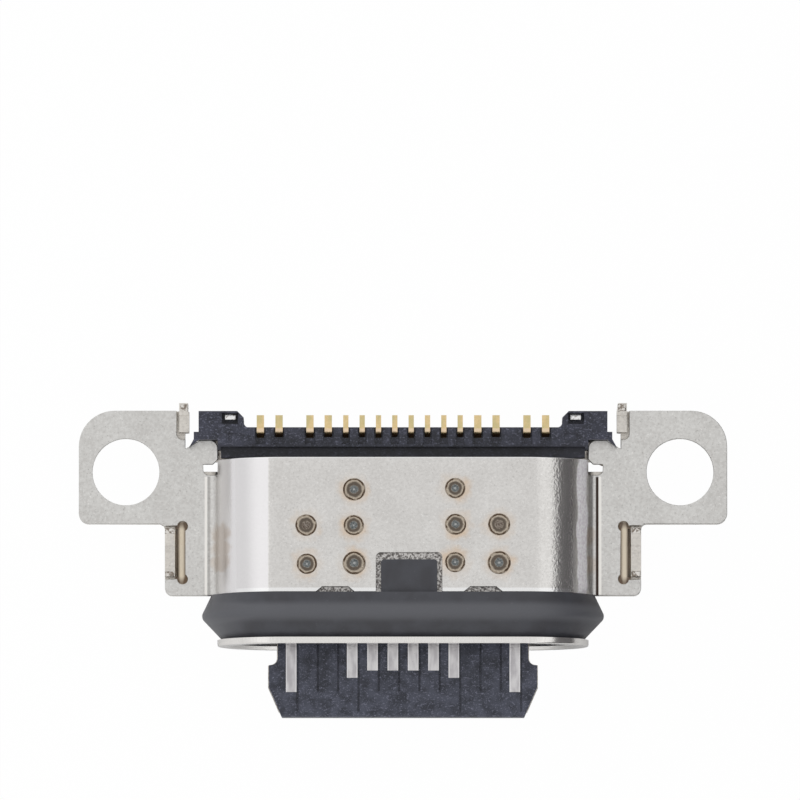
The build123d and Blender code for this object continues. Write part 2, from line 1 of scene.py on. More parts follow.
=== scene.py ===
# %% [markdown]
# # A charging port connector, dressed in Blender
# The steel sheets, the shell, the rubber gasket, the plastic mouldings and the contacts come from the
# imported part, in metres and already in place. This script rounds their edges, gives them their
# finishes, adds the spot welds and the torn ends of the tabs, and sets up a plain studio. Run the
# cells from top to bottom.

import math

import bmesh
import bpy
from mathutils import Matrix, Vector, noise


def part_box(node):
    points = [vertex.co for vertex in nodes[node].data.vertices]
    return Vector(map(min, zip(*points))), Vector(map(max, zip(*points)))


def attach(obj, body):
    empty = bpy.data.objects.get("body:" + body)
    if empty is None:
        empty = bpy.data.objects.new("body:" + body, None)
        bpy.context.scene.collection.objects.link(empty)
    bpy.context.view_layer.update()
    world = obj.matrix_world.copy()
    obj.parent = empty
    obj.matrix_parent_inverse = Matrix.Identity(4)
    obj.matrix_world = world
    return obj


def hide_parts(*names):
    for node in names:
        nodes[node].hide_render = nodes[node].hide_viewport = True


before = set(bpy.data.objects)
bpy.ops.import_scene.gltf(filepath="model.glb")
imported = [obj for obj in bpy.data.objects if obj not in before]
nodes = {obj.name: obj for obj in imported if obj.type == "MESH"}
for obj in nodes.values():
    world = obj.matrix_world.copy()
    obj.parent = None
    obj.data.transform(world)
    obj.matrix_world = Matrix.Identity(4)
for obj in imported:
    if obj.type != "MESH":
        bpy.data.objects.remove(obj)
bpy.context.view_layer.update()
MM = 0.001

# %% [markdown]
# ## Camera
# A small product is photographed from well above with a long lens, so that lines stay parallel. The
# part lies on its gasket and its rear tab, a few degrees nose up, and that is why the front of the
# flange shows from above. The camera looks down on the keyed face. It aims above the part, because
# in the photograph the part fills the lower half of the frame. The clip start is set low, because
# Blender's own value of 100 mm is six times the width of the part.

# %% Camera
photo_pixels = 800
pixels_per_mm = 40.6
photo_centre_x = -0.074
photo_centre_y = 1.79
camera_tilt = math.radians(3.7)
camera_distance = 600.0

view_direction = Vector((0, math.sin(camera_tilt), -math.cos(camera_tilt)))
aim = Vector((photo_centre_x, photo_centre_y, 0)) * MM
camera_data = bpy.data.cameras.new("camera")
camera_data.angle = 2 * math.atan(photo_pixels / pixels_per_mm / 2 / camera_distance)
camera_data.clip_start = MM
camera = bpy.data.objects.new("camera", camera_data)
camera.location = aim - view_direction * camera_distance * MM
camera.rotation_euler = view_direction.to_track_quat("-Z", "Y").to_euler()
bpy.context.scene.collection.objects.link(camera)
bpy.context.scene.camera = camera
print("camera", [round(c, 4) for c in camera.location], "angle", round(math.degrees(camera_data.angle), 2))

# %% [markdown]
# ## Shader maths as Python
# Materials are trees of nodes. Written by hand, each sum takes three lines: make a Math node, set its
# operation, join its sockets. The small class below wraps an output socket, so that a plain Python
# expression such as 1 - mask * 0.5 adds the Math nodes itself. Everything else goes through one
# method that adds any node by its type, its settings and its inputs.


# %% Wrap a socket in Python maths
class Signal:
    """A number, colour or vector on its way through a material's nodes."""

    def __init__(self, tree, socket):
        self.tree = tree
        self.socket = socket

    def math(self, operation, other=None, swap=False):
        """A Math node on this value, and on a second one if it is given."""
        pair = [self, other] if other is not None else [self]
        if swap:
            pair.reverse()
        return add_node(self.tree, "ShaderNodeMath", {"operation": operation}, dict(enumerate(pair)))

    def __add__(self, other):
        return self.math("ADD", other)

    def __radd__(self, other):
        return self.math("ADD", other)

    def __sub__(self, other):
        return self.math("SUBTRACT", other)

    def __rsub__(self, other):
        return self.math("SUBTRACT", other, swap=True)

    def __mul__(self, other):
        return self.math("MULTIPLY", other)

    def __rmul__(self, other):
        return self.math("MULTIPLY", other)

    def __truediv__(self, other):
        return self.math("DIVIDE", other)

    def step(self, low, high):
        """A smooth rise from 0 at low to 1 at high."""
        settings = {"interpolation_type": "SMOOTHSTEP"}
        return add_node(self.tree, "ShaderNodeMapRange", settings, {0: self, 1: low, 2: high})


def add_node(tree, kind, settings=None, inputs=None, output=0):
    """Add one node: its settings first, then the values or links of its sockets."""
    node = tree.nodes.new(kind)
    for name, value in (settings or {}).items():
        setattr(node, name, value)
    for key, value in (inputs or {}).items():
        if isinstance(value, Signal):
            tree.links.new(value.socket, node.inputs[key])
        else:
            node.inputs[key].default_value = value
    return Signal(tree, node.outputs[output])


print("signal class ready")

# %% [markdown]
# ## A finish starts from the same few nodes
# Every finish here reads Object coordinates, turned into millimetres, so that a grain of 0.05 mm can
# be written as 0.05. Object coordinates stay with the part when the camera moves. A helper makes the
# material, its Principled shader and those coordinates, and the finishes below fill it in.


# %% Start a finish
class Finish:
    """A material with one Principled shader and coordinates in millimetres."""

    def __init__(self, name, metallic=0.0, roughness=0.5):
        self.material = bpy.data.materials.new(name)
        self.material.use_nodes = True
        self.tree = self.material.node_tree
        self.shader = self.tree.nodes["Principled BSDF"]
        self.shader.inputs["Metallic"].default_value = metallic
        self.shader.inputs["Roughness"].default_value = roughness
        place = self.add("ShaderNodeTexCoord", output="Object")
        self.mm = self.add("ShaderNodeVectorMath", {"operation": "SCALE"}, {0: place, "Scale": 1 / MM})

    def add(self, kind, settings=None, inputs=None, output=0):
        return add_node(self.tree, kind, settings, inputs, output)

    def stretched(self, scale):
        """The coordinates in millimetres, scaled apart along X, Y and Z."""
        return self.add("ShaderNodeVectorMath", {"operation": "MULTIPLY"}, {0: self.mm, 1: scale})

    def noise(self, grain, detail=2.0, vector=None):
        """Noise from 0 to 1 whose lumps are about one grain across, in millimetres."""
        inputs = {"Vector": vector or self.mm, "Scale": 1 / grain, "Detail": detail}
        return self.add("ShaderNodeTexNoise", None, inputs)

    def mix(self, amount, first, second):
        """A colour between two colours. Sockets 6 and 7 are the Mix node's pair for colours."""
        settings = {"data_type": "RGBA"}
        return self.add("ShaderNodeMix", settings, {0: amount, 6: first, 7: second}, output=2)

    def place(self, axis):
        """One coordinate of the point, in millimetres."""
        return self.add("ShaderNodeSeparateXYZ", None, {0: self.mm}, output=axis)

    def set(self, socket, signal):
        self.tree.links.new(signal.socket, self.shader.inputs[socket])

    def bump(self, height, depth):
        """Raise the surface by a height from 0 to 1, times a depth in millimetres."""
        inputs = {"Height": height, "Distance": depth * MM, "Strength": 1.0}
        self.set("Normal", self.add("ShaderNodeBump", None, inputs))


def colour(red, green, blue):
    """A colour as its screen values from 0 to 255, turned into the linear values of a shader."""
    return tuple((value / 255) ** 2.2 for value in (red, green, blue)) + (1.0,)


print("finish class ready")

# %% [markdown]
# ## Where the spot welds are
# The two sheets are welded to the shell and to each other. Each weld is a small ring with a pit, and
# the heat has tinted the steel round it. The places are values of their own, because both the ring
# meshes and the tint in the steel need them. The part was photographed from both faces, so there is
# one list for each face, and one for the ears and legs.

# %% Weld places in millimetres
key_face_welds = [
    (-1.20, -0.52),
    (-2.38, -1.40),
    (-1.21, -1.40),
    (-2.36, -2.35),
    (-1.20, -2.33),
    (1.28, -0.49),
    (1.29, -1.38),
    (2.36, -1.38),
    (1.28, -2.31),
    (2.36, -2.32),
]
plain_face_welds = [
    (0.91, -0.60),
    (2.10, -1.58),
    (0.89, -1.53),
    (2.04, -2.54),
    (0.86, -2.47),
    (-1.38, -0.59),
    (-1.40, -1.51),
    (-2.58, -1.51),
    (-1.40, -2.44),
    (-2.55, -2.47),
]
plain_ear_welds = [
    (6.27, 1.01),
    (7.56, -0.95),
    (5.00, -0.46),
    (5.09, -1.54),
    (5.10, -2.64),
    (-6.32, 1.12),
    (-7.64, -0.85),
    (-5.15, -0.39),
    (-5.28, -1.55),
    (-5.22, -2.60),
]
print("welds:", len(key_face_welds), len(plain_face_welds), len(plain_ear_welds))

# %% [markdown]
# ## Nickel-plated sheet steel
# Stamped sheet has a satin face with a fine speckle from the rolling and the plating. Metals get their
# look from Metallic 1, a pale Base Color and a Roughness that wanders a little. The ears are cooler and
# more matt than the cover, and the wrap on one side is wiped smooth; on the keyed face its tone is also
# painted lighter, as painted light from the bright wall it mirrors. All the marks on a sheet need the
# same few masks and noises, so a finish of its own holds them. Its hand is 1 for the sheet of the keyed
# face and -1 for the sheet of the plain face, whose left is the part's right.


# %% The masks that all marks on a sheet share
class SheetFinish(Finish):
    """Plated steel, with the masks and the noises of a formed sheet."""

    def __init__(self, name, hand):
        super().__init__(name, metallic=1.0)
        self.side = self.place(0) * hand
        self.across = self.side.math("ABSOLUTE")
        self.along = self.place(1)
        self.height = self.place(2)
        self.up = self.height.math("ABSOLUTE")
        self.ears = self.across.step(4.4, 4.7)
        # the wiped wrap: smoother, and on the keyed face its tone is painted lighter, as painted light
        self.wiped_and_sheen = (1 - self.side.step(-3.33, -3.29)) * (1 - self.ears)
        self.rough = 1 - self.wiped_and_sheen * 0.85
        self.mottle = self.noise(0.07, 3.0)
        self.speckle = self.noise(0.045, 2.0)
        self.cloud = self.noise(0.9, 2.0)


def bare_plating(sheet, cover_tone, ear_tone, wrap_tone_and_sheen):
    """The colour of the plating: three tones, mottled and clouded, with dark pits and painted bright
    glints.
    """
    # the wrap tone: painted lighter on the keyed face as painted light, a warm tint on the plain face
    base = sheet.mix(sheet.wiped_and_sheen, sheet.mix(sheet.ears, cover_tone, ear_tone), wrap_tone_and_sheen)
    grainy = sheet.mottle.step(0.30, 0.72) * (sheet.ears * 0.10 + 0.20)
    shade = (grainy + sheet.cloud.step(0.25, 0.75) * 0.16) * sheet.rough
    shaded = sheet.mix(shade, base, colour(178, 174, 170))
    pits = sheet.speckle.step(0.62, 0.74) * (sheet.ears * 0.12 + 0.22) * sheet.rough
    # painted highlight: near-white specks painted into the colour as glints
    painted_glints = (1 - sheet.speckle.step(0.28, 0.38)) * 0.45 * sheet.rough
    pitted = sheet.mix(pits, shaded, colour(118, 114, 110))
    return sheet.mix(painted_glints, pitted, colour(255, 253, 250))


print("sheet finish ready")

# %% [markdown]
# ## Heat on the sheet
# The heat of each weld leaves a warm haze in the plating. There are brown stains at the foot of the
# wraps, and one wrap of the plain face is scorched. The distance to every such place gives a mask,
# worked out in a loop: it is 1 at the nearest place, and noise makes its edge ragged.

# %% Haze, stains and scorch
stain_places = [(-4.48, -1.55), (-4.48, -1.90), (-4.48, -2.25), (4.50, -1.60), (4.55, -2.30)]
scorch_places = [(4.15, -0.30), (4.12, -0.90), (4.12, -1.50), (4.15, -2.10), (4.20, -2.60)]


def haze_round(sheet, places, near, far, ragged):
    """A mask that is 1 at the nearest of some places in plan, and fades out with a ragged edge."""
    flat = sheet.add("ShaderNodeVectorMath", {"operation": "MULTIPLY"}, {0: sheet.mm, 1: (1, 1, 0)})
    nearest = None
    for x, y in places:
        inputs = {0: flat, 1: (x, y, 0)}
        reach = sheet.add("ShaderNodeVectorMath", {"operation": "DISTANCE"}, inputs, output="Value")
        nearest = reach if nearest is None else nearest.math("MINIMUM", reach)
    wander = (sheet.noise(0.22, 2.0) - 0.5) * ragged
    return 1 - (nearest + wander).step(near, far)


def heated(sheet, tone, face_welds, ear_welds, scorches):
    """A tone with a warm haze round the welds, stains, and the scorch where there is one."""
    halo = haze_round(sheet, face_welds, 0.20, 0.50, 0.36) * sheet.up.step(1.4, 1.6)
    if ear_welds:
        halo = halo + haze_round(sheet, ear_welds, 0.16, 0.40, 0.26) * (1 - sheet.up.step(0.3, 0.5))
    patchy = sheet.cloud.step(0.42, 0.60) * 0.32 + 0.16
    hazed = sheet.mix(halo * patchy, tone, colour(226, 184, 132))
    stain = haze_round(sheet, stain_places, 0.16, 0.30, 0.25)
    stained = sheet.mix(stain * 0.40, hazed, colour(196, 176, 156))
    if not scorches:
        return stained
    scorch = haze_round(sheet, scorches, 0.10, 0.42, 0.30)
    return sheet.mix(scorch * 0.42, stained, colour(206, 164, 120))


print("heat marks ready:", len(stain_places), "stains and", len(scorch_places), "scorches")

# %% [markdown]
# ## Slots, folds and edges, with painted shade and highlights
# The slots beside the tabs in the legs show the other sheet as their floor, pale in the middle, with
# painted shade that turns it brown towards the ends and sides. Where a wrap turns into an ear the fold
# holds a painted dark shade line, with a painted highlight on the crest beside it. The front and rear
# edges of the sheet get a nearly white painted highlight. Each of these is a band between
# two distances, so each is a product of two steps.

# %% Painted shade on slot floors and folds, painted highlights on rims
slot_middle_y = -1.99
slot_x = 5.45
cover_front_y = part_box("top_bracket")[0].y / MM


def shaded_slot_floors(sheet, tone):
    """The floors of the slots beside the tabs, on the plane where the two sheets meet, with painted shade
    towards their walls.
    """
    from_middle = (sheet.along - slot_middle_y).math("ABSOLUTE")
    aside = (sheet.across - slot_x).math("ABSOLUTE")
    inside = (1 - from_middle.step(0.74, 0.82)) * (1 - aside.step(0.14, 0.20))
    bottom = (1 - sheet.up.step(0.02, 0.06)) * inside
    # painted shade: the floor darkens to brown towards the ends and sides of the slot, where its walls
    # shade it
    edge = from_middle.step(0.55, 0.74) * 0.8 + aside.step(0.02, 0.11)
    shaded_floor_tone = sheet.mix(edge.math("MINIMUM", 1.0), colour(240, 226, 202), colour(92, 70, 48))
    return sheet.mix(bottom * 0.85, tone, shaded_floor_tone)


def painted_fold_lines(sheet, tone):
    """A painted dark shade line in the fold beside each ear, stronger on the right, and a painted
    highlight on the crest beside it.
    """
    right = sheet.side.step(-0.1, 0.1)
    low = (1 - sheet.up.step(0.5, 0.6)) * (1 - sheet.along.step(-0.14, -0.10))
    # painted shade in the fold; below it a painted highlight on the crest
    crease_shade = sheet.across.step(4.73, 4.76) * (1 - sheet.across.step(4.80, 4.82)) * low
    with_painted_shade = sheet.mix(crease_shade * (right * 0.70 + 0.28), tone, colour(52, 38, 32))
    crest_highlight = sheet.across.step(4.81, 4.83) * (1 - sheet.across.step(4.86, 4.90)) * low
    return sheet.mix(crest_highlight, with_painted_shade, colour(255, 252, 247))


def painted_rim_highlights(sheet, tone):
    """A nearly white painted highlight along the front edges of both covers and the rear edge of the keyed
    one.
    """
    # painted highlight where the rounded edges would catch the light
    front = (1 - sheet.along.step(cover_front_y + 0.09, cover_front_y + 0.12)) * sheet.up.step(1.2, 1.3)
    rear = sheet.along.step(0.24, 0.27) * sheet.height.step(1.2, 1.3)
    return sheet.mix((front + rear) * 0.8, tone, colour(255, 255, 255))


print("cover front at", round(cover_front_y, 2), "mm")

# %% [markdown]
# ## Both sheets
# The last marks change more than the colour. A ragged band runs down the outer wall of the right wrap:
# a painted highlight, nearly white, with Metallic dropped so that it shows bright whatever it faces. The
# curve above it is worn and catches the light in flecks, and the walls of both wraps are rougher than the
# cover.


# %% Sheet steel for each face
def sheet_steel(name, hand, tones, face_welds, ear_welds, scorches):
    """The finish of one formed sheet: its plating, heat, painted shade in slots and folds, painted pale
    band and rim highlights.
    """
    sheet = SheetFinish(name, hand)
    warm = heated(sheet, bare_plating(sheet, *tones), face_welds, ear_welds, scorches)
    with_painted_shade = painted_fold_lines(sheet, shaded_slot_floors(sheet, warm))
    ragged = sheet.side + (sheet.noise(0.45, 1.0) - 0.5) * 0.16
    # painted highlight: a ragged, nearly white and less metallic band down the right wrap
    sheen_band = ragged.step(4.26, 4.30) * (1 - ragged.step(4.50, 4.55))
    pale = sheet.mix(sheet.mottle.step(0.35, 0.65), colour(255, 254, 255), colour(236, 231, 236))
    sheet.set("Base Color", painted_rim_highlights(sheet, sheet.mix(sheen_band, with_painted_shade, pale)))
    sheet.set("Metallic", 1 - sheen_band * 0.85)
    worn = sheet.side.step(3.45, 3.75) * (1 - sheet.side.step(4.25, 4.30))
    wall = sheet.across.step(4.15, 4.27) * sheet.up.step(0.35, 0.45)
    smooth = sheet.mottle * sheet.rough * 0.08 + sheet.ears * 0.24 + sheet.wiped_and_sheen * -0.03 + 0.11
    sheet.set("Roughness", smooth + sheen_band * 0.40 + worn * 0.07 + wall * 0.22)
    grain = (sheet.mottle * 0.7 + sheet.speckle * 0.3) * sheet.rough
    sheet.bump(grain * (worn * 2.5 + 1), 0.004)
    return sheet.material


# the third tone of each face is its wrap's: on the keyed face it is painted lighter, as painted light
key_tones = (colour(233, 231, 228), colour(228, 227, 224), colour(240, 238, 239))
plain_tones = (colour(236, 231, 223), colour(231, 226, 218), colour(232, 219, 200))
key_face_steel = sheet_steel("key_face_steel", 1, key_tones, key_face_welds, [], [])
plain_face_steel = sheet_steel(
    "plain_face_steel", -1, plain_tones, plain_face_welds, plain_ear_welds, scorch_places
)
print("sheet steels ready")

# %% [markdown]
# ## Drawn and stamped steel
# The shell is deep drawn and polished, so it is smoother than the sheets, with faint draw lines along
# its length. Where it shows through the window and the notches of the cover it is grainy. The plate in
# the tongue is plain stamped steel, with a painted near-white glint on top of its lugs. Noise that is
# stretched along one axis gives lines, and plain noise gives grain.


# %% Shell and plate steel
def drawn_steel():
    steel = Finish("drawn_steel", metallic=1.0)
    lines = steel.noise(0.03, 2.0, steel.stretched((1.0, 0.15, 1.0)))
    grain = steel.noise(0.05, 3.0)
    covered = steel.place(1).step(-3.95, -3.75)
    polished = steel.mix(lines, colour(250, 248, 245), colour(230, 227, 223))
    grainy = steel.mix(grain.step(0.38, 0.62), colour(112, 108, 106), colour(226, 223, 220))
    steel.set("Base Color", steel.mix(covered, polished, grainy))
    steel.set("Roughness", lines * 0.08 + covered * 0.18 + 0.13)
    steel.bump(lines * 0.3 + grain * covered, 0.006)
    return steel.material


def stamped_steel():
    steel = Finish("stamped_steel", metallic=1.0)
    grain = steel.noise(0.06, 3.0)
    ridges = steel.noise(0.045, 1.0, steel.stretched((0.2, 1.0, 1.0)))
    base = steel.mix(grain.step(0.3, 0.7), colour(226, 221, 214), colour(176, 168, 160))
    # painted highlight: a near-white glint on top of the lugs, broken by dark grain
    lug_glint = steel.place(2).step(0.24, 0.30)
    steel.set("Base Color", steel.mix(lug_glint * (1 - grain.step(0.56, 0.62)), base, colour(255, 255, 255)))
    steel.set("Roughness", grain * 0.14 + 0.22)
    steel.bump(grain * 0.5 + ridges * 0.5, 0.006)
    return steel.material


shell_finish = drawn_steel()
plate_finish = stamped_steel()
print("steels ready:", shell_finish.name, plate_finish.name)

# %% [markdown]
# ## Two platings on one contact
# A contact is one strip with two platings: pale on the pad that the plug touches, gold on the tail that
# is soldered. A mask along Y parts them. Where the tail bends out of the plastic it gets a painted peach
# highlight, and just in front of that a band of painted brown shade. The pads stand on a pitch of half
# a millimetre, so the fraction of twice X finds the edges of every pad.


# %% Contact plating
def contact_plating():
    plating = Finish("contact_plating", metallic=1.0)
    grain = plating.noise(0.05, 2.0)
    wear = plating.noise(0.16, 2.0, plating.stretched((1.0, 0.35, 1.0)))
    along = plating.place(1)
    lane = (plating.place(0) * 2).math("FRACT") - 0.5
    pad_edge = (lane.math("ABSOLUTE") * 0.5).step(0.095, 0.115)
    pad = plating.mix(wear.step(0.3, 0.7), colour(222, 220, 221), colour(188, 185, 188))
    pale = plating.mix(pad_edge * 0.7, pad, colour(244, 242, 243))
    gold = plating.mix(grain, colour(250, 226, 176), colour(226, 196, 140))
    olive = plating.mix(wear.step(0.42, 0.66) * 0.5, gold, colour(196, 194, 142))
    behind = along.step(-1.2, -0.4)
    plated = plating.mix(behind, pale, olive)
    # painted highlight: a peach band where the tail bends up out of the plastic
    bend_highlight = along.step(0.95, 0.97) * (1 - along.step(1.04, 1.07))
    bend_highlighted = plating.mix(bend_highlight * 0.6, plated, colour(255, 228, 205))
    # painted shade: a dark brown band just in front of the bend
    brown = along.step(0.80, 0.86) * (1 - along.step(0.92, 0.95))
    plating.set("Base Color", plating.mix(brown * 0.85, bend_highlighted, colour(92, 54, 34)))
    plating.set("Roughness", grain * 0.12 + 0.24)
    plating.bump(grain, 0.003)
    return plating.material


contact_finish = contact_plating()
print("plating ready:", contact_finish.name)

# %% [markdown]
# ## Rubber
# The gasket is dull moulded rubber, dark grey with a few pale specks. The crest of its ridge and its
# left end are painted paler, as painted highlight on the crest and painted light from the left at the end.
# Each of the two is a mask along one axis.


# %% Gasket rubber
def gasket_rubber():
    rubber = Finish("gasket_rubber", roughness=0.5)
    cloud = rubber.noise(0.5, 2.0)
    grain = rubber.noise(0.03, 2.0)
    specks = rubber.noise(0.05, 1.0).step(0.72, 0.78)
    along = rubber.place(1)
    base = rubber.mix(cloud.step(0.3, 0.7), colour(60, 60, 65), colour(68, 69, 75))
    # painted light: a paler band on the ridge's crest and a paler left end
    crest_highlight = along.step(-3.82, -3.62) * (1 - along.step(-3.42, -3.22))
    left_light = 1 - rubber.place(0).step(-4.6, -3.6)
    painted_lit = rubber.mix(crest_highlight + left_light * 0.8, base, colour(88, 89, 94))
    rubber.set("Base Color", rubber.mix(specks * 0.3, painted_lit, colour(108, 108, 114)))
    rubber.set("Roughness", grain * 0.12 + 0.40)
    rubber.bump(grain, 0.002)
    return rubber.material


gasket_finish = gasket_rubber()
print("rubber ready:", gasket_finish.name)

# %% [markdown]
# ## Plastic and potting
# The mouldings are a glass-filled plastic: close up, short pale fibres show in the blue-black, and the
# skin is slightly rough. Noise stretched along X makes the fibres. The sunk pockets behind the cover
# hold less light than the bar, so their plastic is a little darker. The potting behind the tongue is
# the same black with a gloss.


# %% Housing and tongue plastic, and potting
def fibre_plastic(name, dark, light, fibre_share):
    """Glass-filled plastic between two tones, with a share of pale fibres."""
    plastic = Finish(name, roughness=0.45)
    flow = plastic.noise(0.05, 4.0, plastic.stretched((0.6, 1.0, 1.0)))
    short = plastic.noise(0.028, 2.0)
    fibres = flow.step(0.56, 0.68) * 0.5 + short.step(0.58, 0.70) * 0.5
    cloud = plastic.noise(0.30, 3.0)
    base = plastic.mix(cloud.step(0.3, 0.7), dark, light)
    shaded = plastic.place(1).step(0.0, 0.1) * (1 - plastic.place(1).step(0.55, 0.70))
    sunk = plastic.mix(shaded * 0.40, base, colour(20, 19, 24))
    speckled = plastic.mix(fibres * fibre_share * (1 - shaded * 0.6), sunk, colour(136, 138, 158))
    plastic.set("Base Color", speckled)
    plastic.set("Roughness", flow * 0.25 + 0.30)
    plastic.bump(flow * 0.6 + short * 0.4, 0.006)
    return plastic.material


def potting():
    resin = Finish("potting", roughness=0.2)
    ripple = resin.noise(0.3, 2.0)
    resin.set("Base Color", resin.mix(ripple, colour(20, 21, 26), colour(32, 33, 40)))
    resin.bump(ripple, 0.01)
    return resin.material


housing_finish = fibre_plastic("housing_plastic", colour(34, 36, 46), colour(60, 62, 76), 0.80)
tongue_finish = fibre_plastic("tongue_plastic", colour(42, 45, 56), colour(74, 77, 91), 0.9)
seal_finish = potting()
print("plastics ready:", housing_finish.name, tongue_finish.name, seal_finish.name)

# %% [markdown]
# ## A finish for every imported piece
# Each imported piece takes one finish. The table names all of them but the contacts, which share theirs.

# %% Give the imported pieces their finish
finishes = {
    "inner_shell": shell_finish,
    "top_bracket": key_face_steel,
    "bottom_bracket": plain_face_steel,
    "gasket": gasket_finish,
    "mid_plate": plate_finish,
    "tongue_moulding": tongue_finish,
    "upper_root_plate": plate_finish,
    "lower_root_plate": plate_finish,
    "rear_seal": seal_finish,
    "rear_housing": housing_finish,
}
for name, node in nodes.items():
    node.data.materials.clear()
    node.data.materials.append(finishes.get(name, contact_finish))
print("finished:", len(finishes), "pieces and", len(nodes) - len(finishes), "contacts")

# %% [markdown]
# ## Rounded edges
# No stamped or moulded edge is sharp: the punch rolls one side over, and a mould has small radii. A thin
# line of light along every edge is what makes a small part look real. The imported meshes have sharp
# edges, and they are loose triangles, so a copy is merged first, its flat triangles are joined, and a
# Bevel modifier rounds what is steeper than a limit. The merge also takes away the very short edges,
# which would leave the rounding no room. A Weighted Normal modifier keeps the flat faces flat in the
# shading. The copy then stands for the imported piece. The top bracket has room for its rounding at every
# edge. On the others edges crowd together in places, so there the modifier clamps its width.

# %% Copy a piece ready for rounding
flat_limit = math.radians(0.5)
steep_limit = math.radians(40)
smooth_limit = math.radians(35)


def settle(piece):
    """Give a piece the mesh that its modifiers make, and take the modifiers away."""
    evaluated = piece.evaluated_get(bpy.context.evaluated_depsgraph_get())
    made = bpy.data.meshes.new_from_object(evaluated)
    piece.modifiers.clear()
    piece.data = made
    return made


def merged_copy(name, merge):
    """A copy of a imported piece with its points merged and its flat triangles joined."""
    mesh = nodes[name].data.copy()
    mesh.name = name + "_soft"
    work = bmesh.new()
    work.from_mesh(mesh)
    bmesh.ops.remove_doubles(work, verts=work.verts, dist=merge * MM)
    bmesh.ops.dissolve_limit(work, angle_limit=flat_limit, verts=work.verts, edges=work.edges)
    work.to_mesh(mesh)
    work.free()
    piece = bpy.data.objects.new(name + "_soft", mesh)
    bpy.context.scene.collection.objects.link(piece)
    return piece


print("edges steeper than", round(math.degrees(steep_limit)), "degrees will be rounded")


# %% Round the edges of a piece
def softened(name, merge, radius, clamped, slot):
    """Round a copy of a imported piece, which then stands for it. Merge and radius are in mm."""
    piece = merged_copy(name, merge)
    bevel = piece.modifiers.new("rounding", "BEVEL")
    bevel.width = radius * MM
    bevel.segments = 2
    bevel.limit_method = "ANGLE"
    bevel.angle_limit = steep_limit
    bevel.use_clamp_overlap = clamped
    rounded = settle(piece)
    rounded.shade_smooth()
    rounded.set_sharp_from_angle(angle=smooth_limit)
    weighting = piece.modifiers.new("weighting", "WEIGHTED_NORMAL")
    weighting.keep_sharp = True
    rounded = settle(piece)
    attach(piece, "root")
    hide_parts(name)
    print(name, "faces:", len(rounded.polygons), "finish:", rounded.materials[0].name)


edge_rounding = {
    "top_bracket": (0.022, 0.018, False, "sheet_steel"),
    "bottom_bracket": (0.040, 0.024, True, "sheet_steel"),
    "rear_housing": (0.026, 0.018, True, "housing_plastic"),
    "tongue_moulding": (0.030, 0.015, True, "housing_plastic"),
    "mid_plate": (0.030, 0.020, True, "plate_steel"),
}
for name, choices in edge_rounding.items():
    softened(name, *choices)

# %% [markdown]
# ## Spot welds
# A weld made by a small electrode leaves a round mark: a thin dark ring, a pale collar, and a dished,
# darker pit with a bead in the middle. The same small form repeats, so Geometry Nodes make it. A sphere
# is pressed flat: its upper half becomes the profile, as heights that depend on the distance from the
# axis, and its lower half closes the mark just under the sheet. An instance of it goes on every weld
# place, turned and sized by chance from a fixed seed. The distance from the axis is stored as an
# attribute, which the finish of the welds reads for its rings.


# %% The tree that makes the welds
class Tree:
    """A Geometry Nodes tree with named inputs."""

    def __init__(self, name, numbers):
        self.tree = bpy.data.node_groups.new(name, "GeometryNodeTree")
        face = self.tree.interface
        face.new_socket("Geometry", in_out="INPUT", socket_type="NodeSocketGeometry")
        self.identifiers = {}
        for label, value in numbers.items():
            socket = face.new_socket(label, in_out="INPUT", socket_type="NodeSocketFloat")
            socket.default_value = value
            self.identifiers[label] = socket.identifier
        face.new_socket("Geometry", in_out="OUTPUT", socket_type="NodeSocketGeometry")
        self.source = self.tree.nodes.new("NodeGroupInput")

    def input(self, label):
        return Signal(self.tree, self.source.outputs[label])

    def add(self, kind, settings=None, inputs=None, output=0):
        return add_node(self.tree, kind, settings, inputs, output)

    def finish(self, geometry, material):
        """Realize the instances, set the material and close the tree."""
        real = self.add("GeometryNodeRealizeInstances", None, {0: geometry})
        dressed = self.add("GeometryNodeSetMaterial", None, {0: real, "Material": material})
        end = self.tree.nodes.new("NodeGroupOutput")
        self.tree.links.new(dressed.socket, end.inputs[0])


print("tree class ready")

# %% Press a ball into a weld
weld_radius = 0.27
weld_relief = 0.012
weld_sink = 0.004


def pressed_ball(welds):
    """A sphere pressed to the profile of a weld, with the distance from its axis stored on it."""
    radius, relief, sink = welds.input("Radius"), welds.input("Relief"), welds.input("Sink")
    ball = welds.add("GeometryNodeMeshUVSphere", None, {"Segments": 36, "Rings": 44, "Radius": 1.0})
    place = welds.add("GeometryNodeInputPosition")
    x, y, z = (welds.add("ShaderNodeSeparateXYZ", None, {0: place}, output=axis) for axis in range(3))
    across = (x * x + y * y).math("SQRT")
    turn = across.math("ARCTAN2", z)
    upper = z.math("GREATER_THAN", 0)
    reach = (turn * upper + (math.pi - turn) * (1 - upper)) / (math.pi / 2)
    lip = reach.step(0.98, 0.93) * 0.75
    groove = reach.step(0.86, 0.89) * reach.step(0.93, 0.90) * -0.6
    collar = reach.step(0.80, 0.72) * 0.25
    dish = reach.step(0.66, 0.50) * -0.85
    bead = reach.step(0.26, 0.06) * 0.5
    height = (lip + groove + collar + dish + bead) * relief * upper - sink * (1 - upper)
    wide = radius * reach / across.math("MAXIMUM", 0.0001)
    shaped = welds.add("ShaderNodeCombineXYZ", None, {0: x * wide, 1: y * wide, 2: height})
    named = welds.add(
        "GeometryNodeStoreNamedAttribute",
        {"data_type": "FLOAT", "domain": "POINT"},
        {0: ball, "Name": "reach", "Value": reach * upper + (1 - upper)},
    )
    return welds.add("GeometryNodeSetPosition", None, {0: named, "Position": shaped})


print("weld radius:", weld_radius, "relief:", weld_relief, "mm")


